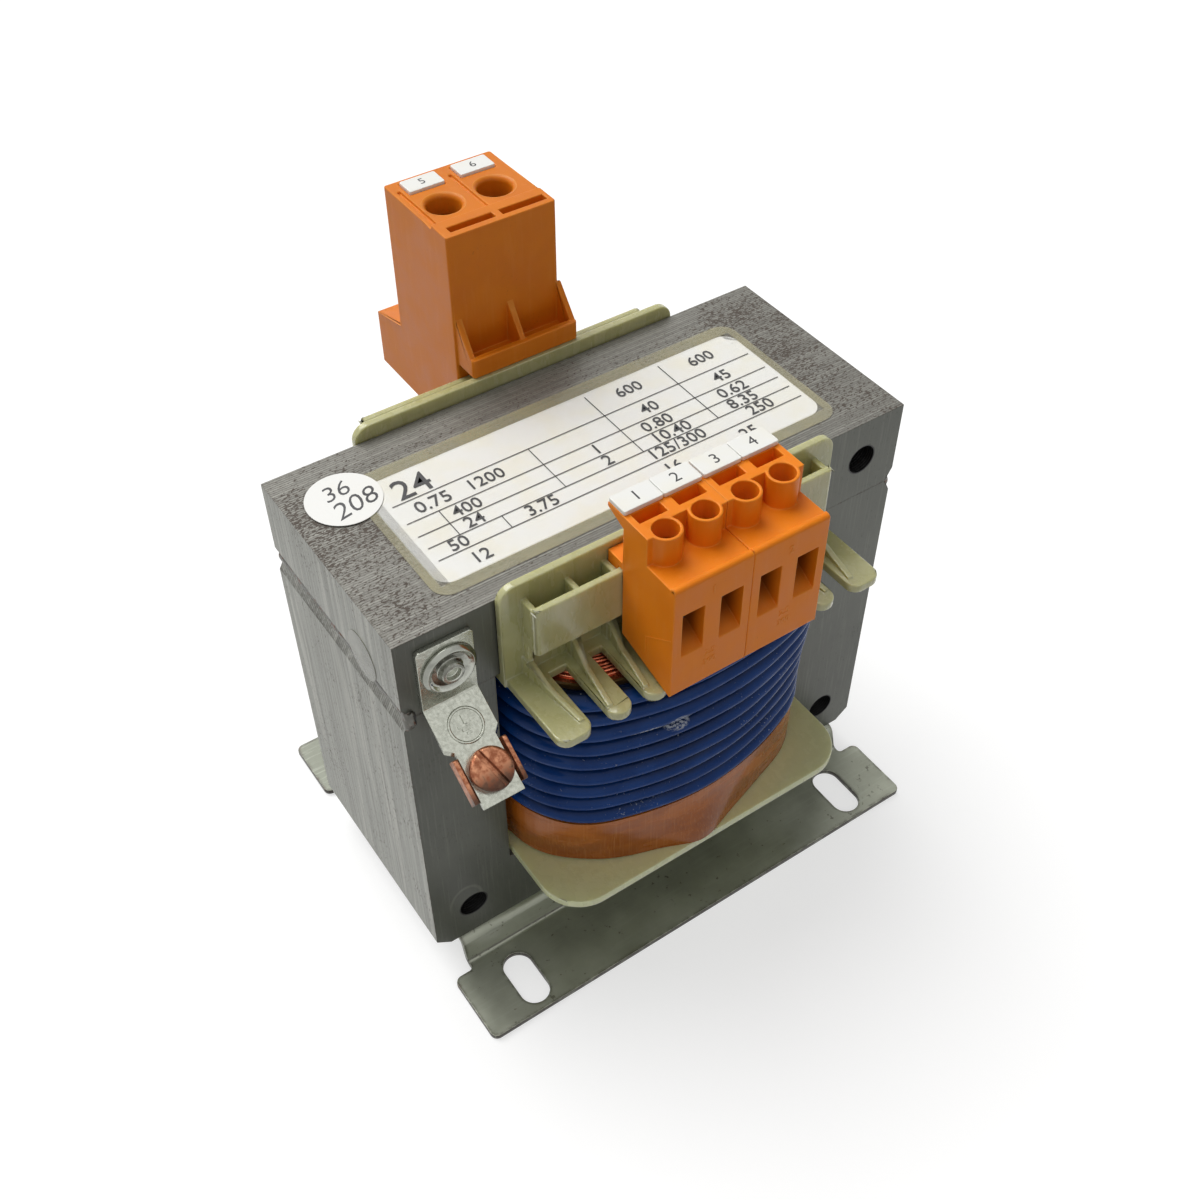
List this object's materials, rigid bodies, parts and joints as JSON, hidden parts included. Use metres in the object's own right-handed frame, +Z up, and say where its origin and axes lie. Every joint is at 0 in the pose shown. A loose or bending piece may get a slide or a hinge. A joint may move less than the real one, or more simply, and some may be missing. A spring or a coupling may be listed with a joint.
{
  "type": "laminated chassis transformer",
  "caption": "Welded E and I sheet core on two slotted feet, moulded coil former with a blue insulated winding, orange screw terminals front and rear, and an earth tab.",
  "frame": {"origin": "centre of the four mounting slots, on the underside of the feet", "axes": "+X out of the side with the four-way terminals, +Y to the right as seen from there, +Z up"},
  "size_m": [0.1051, 0.1051, 0.1236],
  "materials": {
    "core_steel": "oiled sheet edges",
    "weld_steel": "dull",
    "foot_steel": "galvanised",
    "nylon": "glossy, translucent",
    "enamelled_copper": "enamelled",
    "wrap": "satin",
    "orange_tape": "glossy, translucent",
    "blue_insulation": "glossy",
    "bare_copper": "bright",
    "orange_housing": "satin",
    "white_tag": "matt",
    "cage_steel": "plated",
    "screw_steel": "plated",
    "pin_brass": "tinned",
    "zinc_plate": "zinc plated",
    "coppered_steel": "copper plated",
    "label_paper": "matt",
    "clear_film": "clear"
  },
  "bodies": {
    "root": {"e_lamination_stack": "core_steel", "i_lamination_stack": "core_steel", "left_weld_seam": "weld_steel", "right_weld_seam": "weld_steel", "front_foot": "foot_steel", "rear_foot": "foot_steel", "bobbin": "nylon", "primary_winding": "enamelled_copper", "layer_insulation": "wrap", "margin_tape": "orange_tape", "secondary_winding": "blue_insulation", "secondary_wire_ends": "bare_copper", "front_terminal_left": "orange_housing", "front_terminal_right": "orange_housing", "front_clamp_cages": "cage_steel", "front_clamp_screws": "screw_steel", "front_contact_pins": "pin_brass", "front_marker_1": "white_tag", "front_marker_2": "white_tag", "front_marker_3": "white_tag", "front_marker_4": "white_tag", "rear_terminal": "orange_housing", "rear_clamp_cages": "cage_steel", "rear_clamp_screws": "screw_steel", "rear_contact_pins": "pin_brass", "rear_marker_left": "white_tag", "rear_marker_right": "white_tag", "earth_tab": "zinc_plate", "earth_rivet": "zinc_plate", "earth_clamp_plate": "coppered_steel", "earth_screw": "coppered_steel", "rating_label_paper": "label_paper", "rating_label_film": "clear_film", "round_sticker": "label_paper", "clear_seal_dot": "clear_film"}
  },
  "joints": []
}
